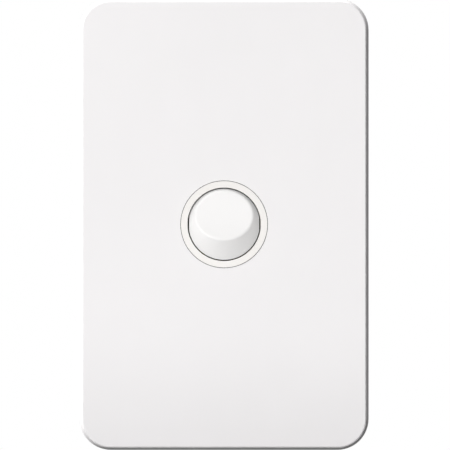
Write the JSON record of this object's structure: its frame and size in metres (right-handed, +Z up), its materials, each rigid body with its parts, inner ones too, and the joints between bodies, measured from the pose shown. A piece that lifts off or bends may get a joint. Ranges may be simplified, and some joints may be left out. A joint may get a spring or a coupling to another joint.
{
  "type": "light switch",
  "caption": "Wall light switch: round dished rocker in a collar on a tall clip-on cover plate, with grid plate, sprung seesaw contact and screw terminals behind.",
  "frame": {"origin": "midway between the two fixing screws, on the wall surface", "axes": "+X to the right seen from the room, +Y into the wall along the fixing screws, +Z up along the tall side of the plate"},
  "size_m": [0.0742, 0.0332, 0.116],
  "materials": {
    "plate_plastic": "smooth satin white moulding",
    "rocker_plastic": "smooth glossy white moulding",
    "collar_plastic": "smooth slightly warm white moulding",
    "frame_plastic": "matt off-white moulding",
    "base_plastic": "matt pale grey thermoset moulding",
    "plunger_plastic": "dark self-lubricating moulding",
    "spring_steel": "drawn spring wire",
    "contact_brass": "pressed strip",
    "contact_silver": "silver alloy rivet head",
    "terminal_brass": "machined bar",
    "screw_steel": "bright zinc plated"
  },
  "bodies": {
    "housing": {"mech_base": "base_plastic", "mech_front": "collar_plastic", "grid_plate": "frame_plastic", "cover_plate": "plate_plastic", "fixing_screws": "screw_steel", "terminal_screws": "screw_steel", "common_strip": "contact_brass", "common_terminal": "terminal_brass", "loop_terminal": "terminal_brass", "terminal_1": "terminal_brass", "terminal_2": "terminal_brass", "fixed_contact_upper": "contact_brass", "fixed_contact_lower": "contact_brass", "fixed_tip_upper": "contact_silver", "fixed_tip_lower": "contact_silver"},
    "rocker": {"rocker": "rocker_plastic"},
    "plunger": {"plunger": "plunger_plastic", "plunger_spring": "spring_steel"},
    "seesaw": {"moving_contact": "contact_brass", "moving_tip_upper": "contact_silver", "moving_tip_lower": "contact_silver"}
  },
  "joints": [
    {"name": "rocker_tilt", "type": "hinge", "parent": "housing", "child": "rocker", "pos_m": [0, 0.00094, 0], "axis": [1, 0, 0], "range_deg": [0, 25.4]},
    {"name": "plunger_slide", "type": "slide", "parent": "rocker", "child": "plunger", "axis": [0, 0.9755, -0.2198], "range_m": [-0.0012, 0], "stiffness_N_per_m": 800, "deforming": ["plunger_spring"]},
    {"name": "contact_tilt", "type": "hinge", "parent": "housing", "child": "seesaw", "pos_m": [0, 0.00844, 0], "axis": [1, 0, 0], "range_deg": [-22, 0]}
  ],
  "couplings": [
    {"joint": "contact_tilt", "follows": "rocker_tilt", "ratio": -0.8661}
  ]
}
